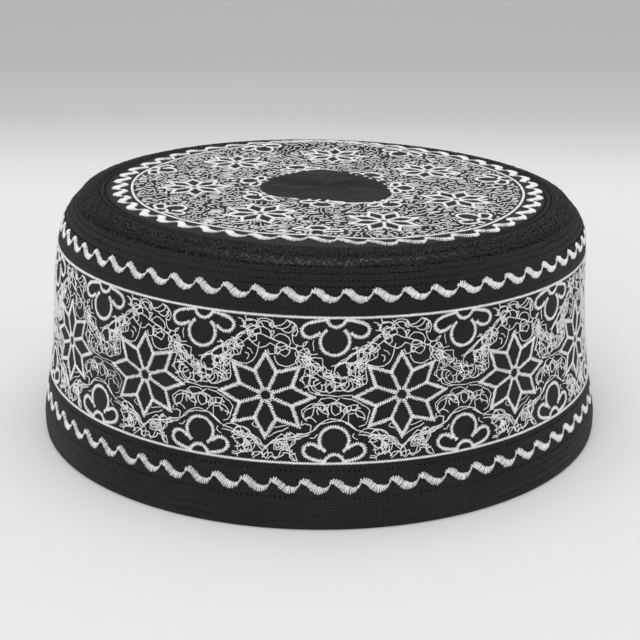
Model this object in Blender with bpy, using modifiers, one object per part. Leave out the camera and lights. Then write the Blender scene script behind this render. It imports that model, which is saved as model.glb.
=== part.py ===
"""A kufi: a stiff round cap of black cloth, standing on its turned hem.

Metres, +Z up. The origin is on the cap's axis, in the plane of the hem, and
the side that the photograph shows faces -Y. Three cloth pieces are sewn
together: the side band, the crown top and the overcast roll on their seam.
"""

from collections import namedtuple
from math import atan2, cos, exp, pi, radians, sin

import bpy
from mathutils import Vector

# Driving sizes
TURN_STEPS = 72
CLOTH_THICKNESS = 0.0020
HEM_ROUNDING = 0.0004
CROWN_HEIGHT = 0.0780
MERGE_DISTANCE = 0.00001
SHARP_EDGE = radians(40)

# The band's outer face, from the shoulder seam down to the hem
BandSection = namedtuple("BandSection", "height radius")
BAND_SECTIONS = (
    BandSection(height=0.07475, radius=0.0817),
    BandSection(height=0.0730, radius=0.0836),
    BandSection(height=0.0700, radius=0.0855),
    BandSection(height=0.0660, radius=0.0867),
    BandSection(height=0.0580, radius=0.0877),
    BandSection(height=0.0480, radius=0.0886),
    BandSection(height=0.0360, radius=0.0895),
    BandSection(height=0.0260, radius=0.0906),
    BandSection(height=0.0180, radius=0.0919),
    BandSection(height=0.0110, radius=0.0932),
    BandSection(height=0.0050, radius=0.0942),
    BandSection(height=HEM_ROUNDING, radius=0.0942),
)

# The crown's upper face, from its middle out to the seam
CrownSection = namedtuple("CrownSection", "radius height")
CROWN_SECTIONS = (
    CrownSection(radius=0.0000, height=0.0783),
    CrownSection(radius=0.0220, height=0.0782),
    CrownSection(radius=0.0450, height=0.0782),
    CrownSection(radius=0.0570, height=0.0781),
    CrownSection(radius=0.0650, height=0.0780),
    CrownSection(radius=0.0715, height=0.0779),
    CrownSection(radius=0.0755, height=0.0777),
    CrownSection(radius=0.0773, height=0.0773),
)

# The roll's oval section lies on the slope between the crown and the band,
# clear of both by 0.3 to 0.4 mm
ROLL_RADIUS = 0.07925
ROLL_HEIGHT = 0.0755
ROLL_HALF_WIDTH = 0.0019
ROLL_HALF_THICKNESS = 0.00125
ROLL_SLOPE = radians(33.5)
ROLL_SIDES = 10

# The cap isn't true: its crown sits a little to +X and leans down that way,
# and swells a little at the back
CROWN_SHIFT = 0.0018
SHIFT_START = 0.050
CROWN_LEAN = 0.019
SWELL_HEIGHT = 0.0015
SWELL_RADIUS = 0.064
SWELL_DEPTH = 0.0065
SWELL_HALF_ANGLE = radians(22)

# Colours and surface of each piece
BAND_COLOUR = (0.017, 0.017, 0.019, 1.0)
CROWN_COLOUR = (0.019, 0.019, 0.021, 1.0)
ROLL_COLOUR = (0.012, 0.012, 0.014, 1.0)
CLOTH_ROUGHNESS = 0.78
THREAD_ROUGHNESS = 0.45


def clear_scene():
    for item in list(bpy.data.objects):
        bpy.data.objects.remove(item)


def cap_collection():
    collection = bpy.data.collections.new("kufi")
    bpy.context.scene.collection.children.link(collection)
    return collection


def fabric(name, colour, roughness):
    material = bpy.data.materials.new(name)
    material.use_nodes = True
    shader = material.node_tree.nodes["Principled BSDF"]
    shader.inputs["Base Color"].default_value = colour
    shader.inputs["Roughness"].default_value = roughness
    shader.inputs["Metallic"].default_value = 0.0
    return material


def smooth_step(value):
    value = max(0.0, min(1.0, value))
    return value * value * (3.0 - 2.0 * value)


def settled(point):
    """The place of a point of the true turned shape on the real, leaning cap."""
    rise = point.z / CROWN_HEIGHT
    raised = smooth_step((point.z - SHIFT_START) / (CROWN_HEIGHT - SHIFT_START))
    lean = -CROWN_LEAN * point.x * rise
    return Vector((point.x + CROWN_SHIFT * raised, point.y, point.z + lean))


def swell(point):
    """How far the crown stands up at this point of the turned shape."""
    radius = point.xy.length
    turn = atan2(point.x, point.y)
    across = exp(-((radius - SWELL_RADIUS) / SWELL_DEPTH) ** 2)
    along = exp(-((turn / SWELL_HALF_ANGLE) ** 2))
    return SWELL_HEIGHT * across * along


def inner_line(outer, thickness):
    """The inner face of a wall whose outer face is this line, in the same order."""
    inner = []
    last = len(outer) - 1
    for index, point in enumerate(outer):
        before = outer[max(index - 1, 0)]
        after = outer[min(index + 1, last)]
        along = (after - before).normalized()
        inward = Vector((along.y, -along.x))
        inner.append(point + inward * thickness)
    return inner


def turned(name, profile, material, collection):
    """A closed outline of radius and height, turned about the cap's axis."""
    mesh = bpy.data.meshes.new(name + "_profile")
    points = [(point.x, 0.0, point.y) for point in profile]
    edges = [(index, (index + 1) % len(points)) for index in range(len(points))]
    mesh.from_pydata(points, edges, [])
    guide = bpy.data.objects.new(name + "_profile", mesh)
    collection.objects.link(guide)
    screw = guide.modifiers.new("turn", "SCREW")
    screw.angle = 2.0 * pi
    screw.steps = TURN_STEPS
    screw.render_steps = TURN_STEPS
    screw.use_merge_vertices = True
    screw.merge_threshold = MERGE_DISTANCE
    bpy.context.view_layer.update()
    evaluated = guide.evaluated_get(bpy.context.evaluated_depsgraph_get())
    solid_mesh = bpy.data.meshes.new_from_object(evaluated)
    bpy.data.objects.remove(guide)
    solid_mesh.name = name
    solid_mesh.materials.clear()
    solid_mesh.materials.append(material)
    solid_mesh.shade_smooth()
    solid_mesh.set_sharp_from_angle(angle=SHARP_EDGE)
    solid = bpy.data.objects.new(name, solid_mesh)
    collection.objects.link(solid)
    return solid


def settle(solid):
    for vertex in solid.data.vertices:
        vertex.co = settled(vertex.co)
    solid.data.update()


def side_band(collection):
    outer = [Vector((row.radius, row.height)) for row in BAND_SECTIONS]
    inner = inner_line(outer, CLOTH_THICKNESS)
    inner[-1].y = HEM_ROUNDING
    hem_outside = Vector((outer[-1].x - HEM_ROUNDING, 0.0))
    hem_inside = Vector((inner[-1].x + HEM_ROUNDING, 0.0))
    outline = outer + [hem_outside, hem_inside] + list(reversed(inner))
    material = fabric("side_cloth", BAND_COLOUR, CLOTH_ROUGHNESS)
    band = turned("side_band", outline, material, collection)
    settle(band)
    return band


def crown_top(collection):
    upper = [Vector((row.radius, row.height)) for row in CROWN_SECTIONS]
    lower = [Vector((point.x, point.y - CLOTH_THICKNESS)) for point in reversed(upper)]
    material = fabric("crown_cloth", CROWN_COLOUR, CLOTH_ROUGHNESS)
    crown = turned("crown_top", upper + lower, material, collection)
    for vertex in crown.data.vertices:
        vertex.co.z += swell(vertex.co)
    settle(crown)
    return crown


def seam_roll(collection):
    slope = Vector((cos(ROLL_SLOPE), -sin(ROLL_SLOPE)))
    normal = Vector((sin(ROLL_SLOPE), cos(ROLL_SLOPE)))
    centre = Vector((ROLL_RADIUS, ROLL_HEIGHT))
    outline = []
    for side in range(ROLL_SIDES):
        turn = pi - 2.0 * pi * side / ROLL_SIDES
        along = slope * (ROLL_HALF_WIDTH * cos(turn))
        across = normal * (ROLL_HALF_THICKNESS * sin(turn))
        outline.append(centre + along + across)
    material = fabric("overcast_thread", ROLL_COLOUR, THREAD_ROUGHNESS)
    roll = turned("seam_roll", outline, material, collection)
    settle(roll)
    return roll


def build():
    clear_scene()
    collection = cap_collection()
    side_band(collection)
    crown_top(collection)
    seam_roll(collection)


build()
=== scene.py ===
"""The looks of the kufi: black quilted cloth, white embroidery and black stitches.

Design lengths are in millimetres and become metres when a mesh is made. A
turn is measured round the cap's axis from -Y, the photographed front, to +X.
"""

from collections import namedtuple
from math import cos, pi, radians, sin

import bpy
import numpy as np
from mathutils import Euler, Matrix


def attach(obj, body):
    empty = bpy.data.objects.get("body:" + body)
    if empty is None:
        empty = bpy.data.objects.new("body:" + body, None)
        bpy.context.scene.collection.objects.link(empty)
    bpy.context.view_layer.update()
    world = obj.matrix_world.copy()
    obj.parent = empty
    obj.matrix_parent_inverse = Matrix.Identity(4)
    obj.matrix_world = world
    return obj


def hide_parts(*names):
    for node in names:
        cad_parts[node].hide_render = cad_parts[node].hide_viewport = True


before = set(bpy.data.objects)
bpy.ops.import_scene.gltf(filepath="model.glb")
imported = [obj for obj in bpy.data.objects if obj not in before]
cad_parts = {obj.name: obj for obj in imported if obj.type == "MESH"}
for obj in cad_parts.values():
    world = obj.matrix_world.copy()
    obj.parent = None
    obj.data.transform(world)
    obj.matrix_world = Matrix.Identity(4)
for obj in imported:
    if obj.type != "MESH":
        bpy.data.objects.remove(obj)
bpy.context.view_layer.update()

MM = 0.001
BODY = "root"

# The turned shape, the same as the solids': the band's (height, radius) and
# the crown's (radius, height)
CLOTH_THICKNESS = 2.0
CROWN_HEIGHT = 78.0
BAND_SECTIONS = (
    (0.4, 94.2), (5.0, 94.2), (11.0, 93.2), (18.0, 91.9), (26.0, 90.6), (36.0, 89.5),
    (48.0, 88.6), (58.0, 87.7), (66.0, 86.7), (70.0, 85.5), (73.0, 83.6), (74.75, 81.7),
)
BAND_TOP = BAND_SECTIONS[-1][0]
CROWN_SECTIONS = (
    (0.0, 78.3), (22.0, 78.2), (45.0, 78.2), (57.0, 78.1), (65.0, 78.0), (71.5, 77.9),
    (75.5, 77.7), (77.3, 77.3),
)
CROWN_RADIUS = CROWN_SECTIONS[-1][0]

# The crown sits a little to +X, leans down that way and swells at the back
CROWN_SHIFT = 1.8
SHIFT_START = 50.0
CROWN_LEAN = 0.019
SWELL_HEIGHT = 1.5
SWELL_RADIUS = 64.0
SWELL_DEPTH = 6.5
SWELL_HALF_ANGLE = radians(22)


def cubic(t, low, high, low_slope, high_slope):
    """The smooth way from low to high with these slopes, as t goes from 0 to 1."""
    value = (2 * t**3 - 3 * t**2 + 1) * low + (t**3 - 2 * t**2 + t) * low_slope
    return value + (3 * t**2 - 2 * t**3) * high + (t**3 - t**2) * high_slope


def curve_of(rows):
    """A smooth curve through rows of a place and a value; it gives value and slope."""
    places, values = np.array(rows, float).T
    slopes = np.gradient(values, places)

    def at(place):
        place = np.clip(place, places[0], places[-1])
        row = np.searchsorted(places, place, side="right") - 1
        row = np.clip(row, 0, len(places) - 2)
        span = places[row + 1] - places[row]
        t = (place - places[row]) / span
        low, high = values[row], values[row + 1]
        low_slope, high_slope = slopes[row] * span, slopes[row + 1] * span
        slope = (6 * t**2 - 6 * t) * (low - high)
        slope += (3 * t**2 - 4 * t + 1) * low_slope + (3 * t**2 - 2 * t) * high_slope
        return cubic(t, low, high, low_slope, high_slope), slope / span

    return at


band_radius = curve_of(BAND_SECTIONS)
crown_height = curve_of(CROWN_SECTIONS)


def smooth_step(share):
    share = np.clip(share, 0.0, 1.0)
    return share * share * (3.0 - 2.0 * share)


def settled(points):
    """Moves points of the true turned shape to the real, slightly leaning cap."""
    moved = np.array(points, float)
    rise = moved[..., 2] / CROWN_HEIGHT
    raised = smooth_step((moved[..., 2] - SHIFT_START) / (CROWN_HEIGHT - SHIFT_START))
    moved[..., 2] -= CROWN_LEAN * points[..., 0] * rise
    moved[..., 0] += CROWN_SHIFT * raised
    return moved


def unit(vectors):
    return vectors / np.linalg.norm(vectors, axis=-1, keepdims=True)


def outward(turn):
    """Level unit vectors that point away from the cap's axis."""
    return np.stack([np.sin(turn), -np.cos(turn), np.zeros(np.shape(turn))], -1)


def band_at(turn, height, lift=0.0):
    """Points on the band's outer face, or lift millimetres off it, and normals."""
    turn, height, lift = np.broadcast_arrays(turn, height, lift)
    radius, slope = band_radius(height)
    out = outward(turn)
    normal = out.copy()
    normal[..., 2] = -slope
    normal = unit(normal)
    point = out * radius[..., None]
    point[..., 2] = height
    return settled(point + normal * lift[..., None]), normal


def crown_swell(x, y):
    radius = np.hypot(x, y)
    turn = np.arctan2(x, y)
    across = np.exp(-(((radius - SWELL_RADIUS) / SWELL_DEPTH) ** 2))
    return SWELL_HEIGHT * across * np.exp(-((turn / SWELL_HALF_ANGLE) ** 2))


def crown_at(x, y, lift=0.0):
    """Points on the crown's upper face, or lift millimetres off it, and normals."""
    x, y, lift = np.broadcast_arrays(x, y, lift)
    radius = np.hypot(x, y)
    height, slope = crown_height(radius)
    out = np.stack([x, y], -1) / np.maximum(radius, 0.001)[..., None]
    normal = np.stack([-out[..., 0] * slope, -out[..., 1] * slope, np.ones(x.shape)], -1)
    normal = unit(normal)
    point = np.stack([x, y, height + crown_swell(x, y)], -1)
    return settled(point + normal * lift[..., None]), normal


# Materials


def new_material(name):
    material = bpy.data.materials.new(name)
    material.use_nodes = True
    tree = material.node_tree
    return material, tree, tree.nodes["Principled BSDF"]


def number(tree, operation, first, second=0.0, third=0.0):
    """A Math node's result; each input is a socket or a number."""
    node = tree.nodes.new("ShaderNodeMath")
    node.operation = operation
    for socket, value in zip(node.inputs, (first, second, third)):
        if isinstance(value, bpy.types.NodeSocket):
            tree.links.new(value, socket)
        else:
            socket.default_value = value
    return node.outputs[0]


def noise(tree, place, scale, detail=3.0, roughness=0.55):
    node = tree.nodes.new("ShaderNodeTexNoise")
    node.inputs["Scale"].default_value = scale
    node.inputs["Detail"].default_value = detail
    node.inputs["Roughness"].default_value = roughness
    tree.links.new(place, node.inputs["Vector"])
    return node.outputs["Fac"]


def ramp(tree, factor, *stops):
    """A colour ramp; each stop is a place and a colour."""
    node = tree.nodes.new("ShaderNodeValToRGB")
    elements = node.color_ramp.elements
    while len(elements) < len(stops):
        elements.new(0.5)
    for element, (place, colour) in zip(elements, stops):
        element.position = place
        element.color = (*colour, 1.0)
    tree.links.new(factor, node.inputs["Fac"])
    return node.outputs["Color"]


def bump(tree, shader, height, distance, strength=1.0):
    node = tree.nodes.new("ShaderNodeBump")
    node.inputs["Strength"].default_value = strength
    node.inputs["Distance"].default_value = distance
    tree.links.new(height, node.inputs["Height"])
    tree.links.new(node.outputs["Normal"], shader.inputs["Normal"])


def object_place(tree):
    node = tree.nodes.new("ShaderNodeTexCoord")
    split = tree.nodes.new("ShaderNodeSeparateXYZ")
    tree.links.new(node.outputs["Object"], split.inputs[0])
    return node.outputs["Object"], split.outputs


def weave(tree, first, second, pitch):
    """A plain weave from two lengths in metres; each thread spans one pitch."""
    turns = 2.0 * pi / pitch
    warp = number(tree, "SINE", number(tree, "MULTIPLY", first, turns))
    weft = number(tree, "SINE", number(tree, "MULTIPLY", second, turns))
    return number(tree, "MULTIPLY", warp, weft)


REFERENCE_RADIUS = 89.0
BAND_GIRTH = 2 * pi * REFERENCE_RADIUS
WEAVE_PITCH = 0.5


def black_cloth(name, dark, pale, round_band):
    """Close black cloth: a fine weave with slubs and soft, dusty mottling."""
    material, tree, shader = new_material(name)
    place, axes = object_place(tree)
    if round_band:
        back = number(tree, "MULTIPLY", axes["Y"], -1.0)
        angle = number(tree, "ARCTAN2", axes["X"], back)
        first = number(tree, "MULTIPLY", angle, REFERENCE_RADIUS * MM)
        second = axes["Z"]
    else:
        first = axes["X"]
        second = axes["Y"]
    threads = weave(tree, first, second, WEAVE_PITCH * MM)
    cloud = noise(tree, place, 70.0, 3.0)
    slubs = noise(tree, place, 1300.0, 3.0, 0.7)
    mix = number(tree, "MULTIPLY_ADD", cloud, 0.35, number(tree, "MULTIPLY", slubs, 0.65))
    tree.links.new(ramp(tree, mix, (0.36, dark), (0.64, pale)), shader.inputs["Base Color"])
    rough = number(tree, "MULTIPLY_ADD", slubs, 0.3, 0.5)
    tree.links.new(rough, shader.inputs["Roughness"])
    shader.inputs["Sheen Weight"].default_value = 0.03
    shader.inputs["Sheen Roughness"].default_value = 0.4
    shader.inputs["Specular IOR Level"].default_value = 0.25
    height = number(tree, "MULTIPLY_ADD", slubs, 3.0, threads)
    bump(tree, shader, height, 0.00007)
    return material


def thread_material(name, dark, pale, roughness, specular):
    """Twisted thread: each stitch has its own tone, with a fine twist in it."""
    material, tree, shader = new_material(name)
    place, _ = object_place(tree)
    island = tree.nodes.new("ShaderNodeNewGeometry")
    cloud = noise(tree, place, 260.0, 2.0)
    own = number(tree, "MULTIPLY", island.outputs["Random Per Island"], 0.6)
    tone = number(tree, "MULTIPLY_ADD", cloud, 0.4, own)
    tree.links.new(ramp(tree, tone, (0.15, dark), (0.85, pale)), shader.inputs["Base Color"])
    shader.inputs["Roughness"].default_value = roughness
    shader.inputs["Specular IOR Level"].default_value = specular
    shader.inputs["Sheen Weight"].default_value = 0.03
    shader.inputs["Sheen Roughness"].default_value = 0.35
    twist = noise(tree, place, 5200.0, 2.0, 0.6)
    bump(tree, shader, twist, 0.00005, 0.35)
    return material


side_cloth = black_cloth("side_cloth", (0.001, 0.0014, 0.0022), (0.013, 0.0145, 0.0178), True)
crown_cloth = black_cloth("crown_cloth", (0.002, 0.0023, 0.003), (0.014, 0.0148, 0.0168), False)
white_thread = thread_material("white_thread", (0.8, 0.8, 0.79), (0.98, 0.98, 0.97), 0.4, 0.5)
black_thread = thread_material("black_thread", (0.001, 0.0014, 0.0022), (0.01, 0.0114, 0.0142), 0.28, 0.5)
# Matte near-black thread for dots that paint the shade inside the needle holes
painted_hole_shade = thread_material("painted_hole_shade", (0.0004, 0.0004, 0.0006), (0.001, 0.001, 0.0012), 0.9, 0.02)


# Meshes


def new_piece(name, points, faces, material, slot):
    """A smooth-shaded piece from points in millimetres; faces share one corner count."""
    mesh = bpy.data.meshes.new(name)
    mesh.vertices.add(len(points))
    mesh.vertices.foreach_set("co", (points * MM).astype(np.float32).ravel())
    mesh.loops.add(faces.size)
    mesh.loops.foreach_set("vertex_index", faces.astype(np.int32).ravel())
    mesh.polygons.add(len(faces))
    starts = np.arange(0, faces.size, faces.shape[1], dtype=np.int32)
    mesh.polygons.foreach_set("loop_start", starts)
    mesh.update(calc_edges=True)
    mesh.validate()
    mesh.materials.append(material)
    mesh.shade_smooth()
    piece = bpy.data.objects.new(name, mesh)
    bpy.context.scene.collection.objects.link(piece)
    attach(piece, BODY)
    return piece


def tube_faces(rings, sides):
    """Triangles of one thread: rings of points between a first and a last tip."""
    faces = []
    last = 1 + rings * sides
    for side in range(sides):
        after = (side + 1) % sides
        faces.append((0, 1 + after, 1 + side))
        faces.append((last, last - sides + side, last - sides + after))
        for ring in range(rings - 1):
            low = 1 + ring * sides
            high = low + sides
            faces.append((low + side, low + after, high + after))
            faces.append((low + side, high + after, high + side))
    return np.array(faces)


def thread_piece(name, spines, ups, half_widths, rise, sides, material, slot):
    """Many threads as one piece. Each spine is a row of points from tip to tip."""
    count, stops, _ = spines.shape
    rings = stops - 2
    along = unit(spines[:, 2:] - spines[:, :-2])
    up = ups[:, 1:-1]
    right = unit(np.cross(along, up))
    angles = np.linspace(pi, 0.0, sides)
    body = spines[:, 1:-1]
    wide = right[:, :, None] * (half_widths[:, :, None, None] * np.cos(angles)[:, None])
    tall = up[:, :, None] * (rise[:, :, None, None] * np.sin(angles)[:, None])
    section = body[:, :, None] + wide + tall
    section = section.reshape(count, rings * sides, 3)
    points = np.concatenate([spines[:, :1], section, spines[:, -1:]], 1)
    template = tube_faces(rings, sides)
    offsets = np.arange(count)[:, None, None] * points.shape[1]
    faces = (template[None] + offsets).reshape(-1, 3)
    return new_piece(name, points.reshape(-1, 3), faces, material, slot)


# Stitches in flat design coordinates: across and up, in millimetres

Stitches = namedtuple("Stitches", "start end width")


def joined(parts):
    parts = list(parts)
    return Stitches(
        np.concatenate([part.start for part in parts]),
        np.concatenate([part.end for part in parts]),
        np.concatenate([part.width for part in parts]),
    )


def kept(stitches, keep):
    return Stitches(stitches.start[keep], stitches.end[keep], stitches.width[keep])


def mapped(stitches, place):
    """The same stitches with both ends moved by place."""
    return Stitches(place(stitches.start), place(stitches.end), stitches.width)


def stretch_and_shift(stretch, shift):
    """A map that stretches a design across and up, then shifts it."""

    def place(points):
        return points * stretch + shift

    return place


def reach_along(path):
    """How far along a path each of its points lies."""
    spans = np.linalg.norm(np.diff(path, axis=0), axis=1)
    return np.concatenate([[0.0], np.cumsum(spans)])


LOOK_AHEAD = 0.05


def walk(path, step):
    """Even steps along a path: points, directions and each point's share of it."""
    path = np.array(path, float)
    reach = reach_along(path)
    count = max(2, int(round(reach[-1] / step)) + 1)
    places = np.linspace(0.0, reach[-1], count)

    def at(place):
        return np.stack([np.interp(place, reach, path[:, axis]) for axis in (0, 1)], -1)

    ahead = at(places + LOOK_AHEAD) - at(places - LOOK_AHEAD)
    return at(places), unit(ahead), places / reach[-1]


def sideways(along):
    return np.stack([-along[:, 1], along[:, 0]], -1)


PATH_STEPS = 8


def smooth_path(points):
    """A smooth line through a few points, with even steps between each two."""
    points = np.array(points, float)
    before = np.concatenate([points[:1] * 2 - points[1:2], points[:-1]])
    after = np.concatenate([points[1:], points[-1:] * 2 - points[-2:-1]])
    slopes = (after - before) / 2
    t = np.linspace(0.0, 1.0, PATH_STEPS, endpoint=False)[:, None]
    spans = []
    for low in range(len(points) - 1):
        high = low + 1
        spans.append(cubic(t, points[low], points[high], slopes[low], slopes[high]))
    spans.append(points[-1:])
    return np.concatenate(spans)


def arc(centre, radius, start, stop, steps=40):
    """Points of an arc from one angle to another, in degrees from +across."""
    angles = np.radians(np.linspace(start, stop, steps))
    return np.stack([centre[0] + radius * np.cos(angles), centre[1] + radius * np.sin(angles)], -1)


SATIN_PITCH = 0.7
SATIN_THREAD = 0.45
SATIN_SINK = 0.2


def satin(path, width, slant, rng, pitch=SATIN_PITCH, thread=SATIN_THREAD):
    """Threads laid side by side across a path. slant leans them along it."""
    points, along, shares = walk(path, pitch)
    if not np.isscalar(width):
        width = np.interp(shares, width[0], width[1])
    lean = sideways(along) * cos(slant) + along * sin(slant)
    count = len(points)
    half = 0.5 * (width + SATIN_SINK) / cos(slant) * rng.uniform(0.86, 1.18, count)
    shift = rng.normal(0.0, 0.035, (count, 2))
    start = points - lean * half[:, None] + shift
    end = points + lean * half[:, None] + shift
    return Stitches(start, end, np.full(count, thread) * rng.uniform(0.88, 1.1, count))


RAIL_WIDTH = 0.75
RAIL_PITCH = 0.36
RAIL_THREAD = 0.27


def rail(path, rng):
    """A narrow zigzag line."""
    points, along, _ = walk(path, RAIL_PITCH)
    sign = np.where(np.arange(len(points)) % 2 == 0, 1.0, -1.0)[:, None]
    half = 0.5 * (RAIL_WIDTH + SATIN_SINK) * rng.uniform(0.9, 1.1, (len(points), 1))
    edge = points + sign * sideways(along) * half
    width = RAIL_THREAD * rng.uniform(0.9, 1.15, len(points) - 1)
    return joined([Stitches(edge[:-1], edge[1:], width), run(path, rng, jitter=0.02, thread=0.5)])


def run(path, rng, step=1.5, jitter=0.05, gap=-0.2, thread=0.37):
    """Straight running stitches along a path; a gap below zero makes them overlap."""
    points, _, _ = walk(path, step)
    points = points + rng.normal(0.0, jitter, points.shape)
    start, end = points[:-1], points[1:]
    along = end - start
    length = np.linalg.norm(along, axis=1)
    keep = length > 0.3
    trim = (along[keep] / length[keep, None]) * gap / 2
    width = thread * rng.uniform(0.85, 1.12, keep.sum())
    return Stitches(start[keep] + trim, end[keep] - trim, width)


SATIN_SHARES = np.array([0.0, 0.1, 0.5, 0.9, 1.0])
RUN_SHARES = np.array([0.0, 0.1, 0.9, 1.0])
TIP_DEPTH = 0.08


def lay(name, place, stitches, shares, bed, rise, material, slot):
    """Straight stitches laid on a surface and sunk into it at both ends."""
    share = shares[None, :, None]
    flat = stitches.start[:, None] * (1 - share) + stitches.end[:, None] * share
    arch = 1.0 - (2.0 * shares - 1.0) ** 2
    lift = np.broadcast_to(arch * bed, flat.shape[:2]).copy()
    lift[:, 0] = -TIP_DEPTH
    lift[:, -1] = -TIP_DEPTH
    spines, ups = place(flat[..., 0], flat[..., 1], lift)
    swell = (0.78 + 0.22 * arch)[None, 1:-1]
    half = 0.5 * stitches.width[:, None] * swell
    tall = np.broadcast_to(rise * swell, half.shape)
    return thread_piece(name, spines, ups, half, tall, 3, material, slot)


# The band's pattern is eased in at the front, where it is a little wider
EASE = 0.039
EASE_CENTRE = radians(2.4)


def on_band(across, up, lift):
    turn = across / REFERENCE_RADIUS
    return band_at(turn + EASE * np.sin(turn - EASE_CENTRE), up, lift)


# The crown's pattern drifts in or out near its edge: (turn in degrees, shift)
CROWN_DRIFT = (
    (-180, 0.4), (-150, 0.1), (-135, -0.4), (-120, -1.7), (-100, -1.1), (-80, -1.2),
    (-60, -0.8), (-50, -1.2), (-40, -1.7), (-30, -2.6), (-20, -2.5), (-10, -3.9),
    (-4, -4.5), (2, -3.5), (8, -1.9), (14, -0.4), (22, 0.0), (32, 0.5), (43, 1.1),
    (52, 0.5), (62, 0.0), (72, -0.1), (90, 0.8), (102, 1.5), (120, 1.0), (140, 1.1),
    (160, 0.5), (180, 0.4),
)
crown_drift = curve_of(CROWN_DRIFT)
DRIFT_START = 50.0
DRIFT_WIDTH = 14.0


def on_crown(x, y, lift):
    radius = np.hypot(x, y)
    turn = np.degrees(np.arctan2(x, -y))
    shift = crown_drift(turn)[0] * smooth_step((radius - DRIFT_START) / DRIFT_WIDTH)
    scale = 1.0 + shift / np.maximum(radius, 1.0)
    return crown_at(x * scale, y * scale, lift)


# Cloth


def ring_faces(rings, turns):
    """Quads between closed rings of points, each ring joined to the next one."""
    ring = np.arange(rings - 1)[:, None] * turns
    turn = np.arange(turns)[None, :]
    after = (turn + 1) % turns
    quads = np.stack([ring + turn, ring + after, ring + turns + after, ring + turns + turn], -1)
    return quads.reshape(-1, 4)


def row_relief(place, rows, depth):
    relief = np.zeros(np.shape(place))
    for row in rows:
        relief -= depth * np.exp(-(((place - row) / ROW_WIDTH) ** 2))
    return relief


BAND_TURNS = 480
BAND_ROWS = (2.4, 4.9, 7.3, 9.7, 12.3, 14.9, 17.6, 64.6, 67.2, 69.8, 72.1, 73.7)
ROW_DEPTH = 0.14
ROW_WIDTH = 0.3
ROW_SHOULDER = 0.36
RIPPLE = 0.12
OUTER_RINGS = np.arange(0.8, 74.4, 1.55)
INNER_RINGS = np.linspace(73.4, 2.0, 22)
SEAM_LIFTS = (0.0, -0.6, -1.4, -CLOTH_THICKNESS)
HEM = ((0.4, -1.95), (0.12, -1.7), (0.0, -1.35), (0.0, -0.65), (0.12, -0.3), (0.4, -0.05))


def band_relief(turn, height):
    """How far the band's cloth stands off its turned shape."""
    slow = np.sin(5 * turn + 0.06 * height) * np.sin(0.09 * height + 1.0)
    quick = np.sin(13 * turn + 1.7) * np.cos(0.11 * height)
    return row_relief(height, BAND_ROWS, ROW_DEPTH) + RIPPLE * (slow + 0.5 * quick)


def band_cloth():
    """The band: its outer face, seam edge, inner face and hem, ring by ring."""
    rows = np.array(BAND_ROWS)
    near_rows = [rows, rows - ROW_SHOULDER, rows + ROW_SHOULDER]
    heights = np.unique(np.concatenate([OUTER_RINGS, *near_rows]).round(2))
    turns = np.arange(BAND_TURNS) * 2 * pi / BAND_TURNS
    turn, height = np.meshgrid(turns, heights)
    outer, _ = band_at(turn, height, band_relief(turn, height))
    seam_edge = [(BAND_TOP, lift) for lift in SEAM_LIFTS]
    inner = [(row, -CLOTH_THICKNESS) for row in INNER_RINGS]
    rest = [band_at(turns, place, lift)[0] for place, lift in [*seam_edge, *inner, *HEM]]
    rings = np.concatenate([outer, np.array(rest)])
    faces = ring_faces(len(rings) + 1, BAND_TURNS) % (len(rings) * BAND_TURNS)
    piece = new_piece("side_band_cloth", rings.reshape(-1, 3), faces, side_cloth, "side_cloth")
    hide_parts("side_band")


CROWN_TURNS = 360
CROWN_ROWS = (72.2, 73.1, 74.0, 74.9, 75.8)
CROWN_ROW_DEPTH = 0.26
DISC_RADIUS = 21.9
PLEAT_HEIGHT = 0.5
PLEATS = 13
CROWN_RING_SPANS = ((0.8, 24.0, 1.0), (24.0, 66.0, 2.6), (66.0, 76.9, 0.36))
CROWN_EDGE = ((77.2, -0.1), (CROWN_RADIUS, -0.4), (CROWN_RADIUS, -1.6), (77.2, -1.9))
UNDER_RINGS = (76.6, 70.0, 60.0, 48.0, 36.0, 24.0, 12.0, 4.0)


def crown_relief(x, y):
    """Fine rings near the seam and small pleats that meet in the middle."""
    radius = np.hypot(x, y)
    turn = np.arctan2(x, -y)
    wave = np.sin(PLEATS * turn + 2.2 * np.sin(3 * turn) + 1.3 * np.sin(5 * turn + 0.3 * radius))
    fan = np.clip(radius / 7.0, 0.0, 1.0) * np.clip((DISC_RADIUS + 2 - radius) / 6.0, 0.0, 1.0)
    slow = np.sin(0.11 * x + 0.4) * np.sin(0.09 * y - 0.7)
    soft = 0.1 * slow * np.clip((74.0 - radius) / 10.0, 0.0, 1.0)
    pleats = PLEAT_HEIGHT * fan * np.abs(wave) ** 0.7
    return row_relief(radius, CROWN_ROWS, CROWN_ROW_DEPTH) + pleats + soft


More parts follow.
